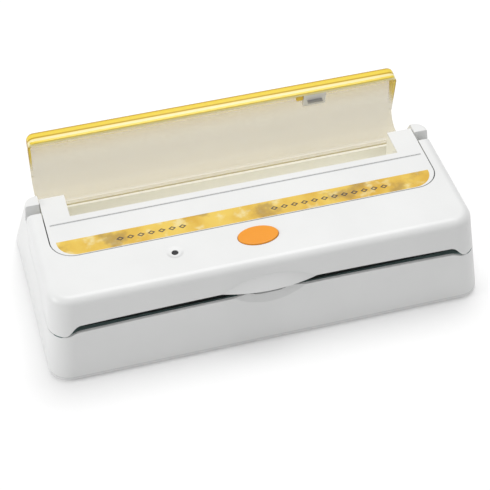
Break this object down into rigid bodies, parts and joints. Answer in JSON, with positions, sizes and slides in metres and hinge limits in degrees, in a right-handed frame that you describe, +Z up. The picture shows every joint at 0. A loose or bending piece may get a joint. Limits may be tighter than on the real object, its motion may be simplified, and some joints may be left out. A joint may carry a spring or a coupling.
{
  "type": "vacuum sealer",
  "caption": "Countertop vacuum sealer with a hinged sealing lid, a roll trough under a swing-up clear cover, a sliding film cutter and a push button.",
  "frame": {"origin": "middle of the footprint on the table, under the feet", "axes": "+X to the right as seen from the front, +Y to the rear, +Z up"},
  "size_m": [0.383, 0.1985, 0.1181],
  "materials": {
    "white_plastic": "smooth moulded white",
    "amber_cover": "clear amber",
    "gold_strip": "mottled gold film",
    "orange_button": "glossy orange",
    "white_cutter": "satin white",
    "black_rubber": "soft matt black",
    "black_plastic": "matt black",
    "tan_tape": "woven non-stick tape",
    "steel": "bright steel",
    "pump_grey": "moulded grey",
    "hose_clear": "milky soft hose",
    "iron": "varnished laminations",
    "copper": "wound enamelled wire",
    "board_green": "green board"
  },
  "bodies": {
    "base": {"base_shell": "white_plastic", "bottom_plate": "white_plastic", "rubber_feet": "black_rubber", "plate_screws": "steel", "cord_gland": "black_plastic", "roll_housing": "white_plastic", "trim_strip": "gold_strip", "housing_screws": "steel", "heater_bar": "black_plastic", "heater_element": "steel", "heater_tape": "tan_tape", "lower_gasket": "black_rubber", "vacuum_nozzle": "pump_grey", "vacuum_hose": "hose_clear", "pump_motor": "steel", "pump_head": "pump_grey", "pump_bracket": "steel", "transformer_core": "iron", "transformer_coil": "copper", "control_board": "board_green", "lid_switch": "black_plastic", "lid_pins": "steel", "cover_pins": "steel"},
    "lid": {"lid_shell": "white_plastic", "lid_liner": "white_plastic", "upper_gasket": "black_rubber", "pressure_bar": "black_rubber", "indicator_lens": "black_plastic", "lid_board": "board_green", "lid_screws": "steel", "button_spring": "steel"},
    "button": {"seal_button": "orange_button"},
    "cover": {"roll_cover": "amber_cover"},
    "cutter": {"cutter_slider": "white_cutter", "cutter_knob": "white_cutter", "cutter_blade": "steel"}
  },
  "joints": [
    {"name": "lid_hinge", "type": "hinge", "parent": "base", "child": "lid", "pos_m": [0, 0.01475, 0.078], "axis": [-1, 0, 0], "range_deg": [0, 50]},
    {"name": "cover_hinge", "type": "hinge", "parent": "base", "child": "cover", "pos_m": [0, 0.06075, 0.0555], "axis": [1, 0, 0], "range_deg": [0, 79]},
    {"name": "cutter_slide", "type": "slide", "parent": "cover", "child": "cutter", "axis": [1, 0, 0], "range_m": [-0.2285, 0.0425]},
    {"name": "button_press", "type": "slide", "parent": "lid", "child": "button", "axis": [0, 0, -1], "range_m": [0, 0.0015], "stiffness_N_per_m": 600, "springref_m": -0.002, "deforming": ["button_spring"]}
  ]
}
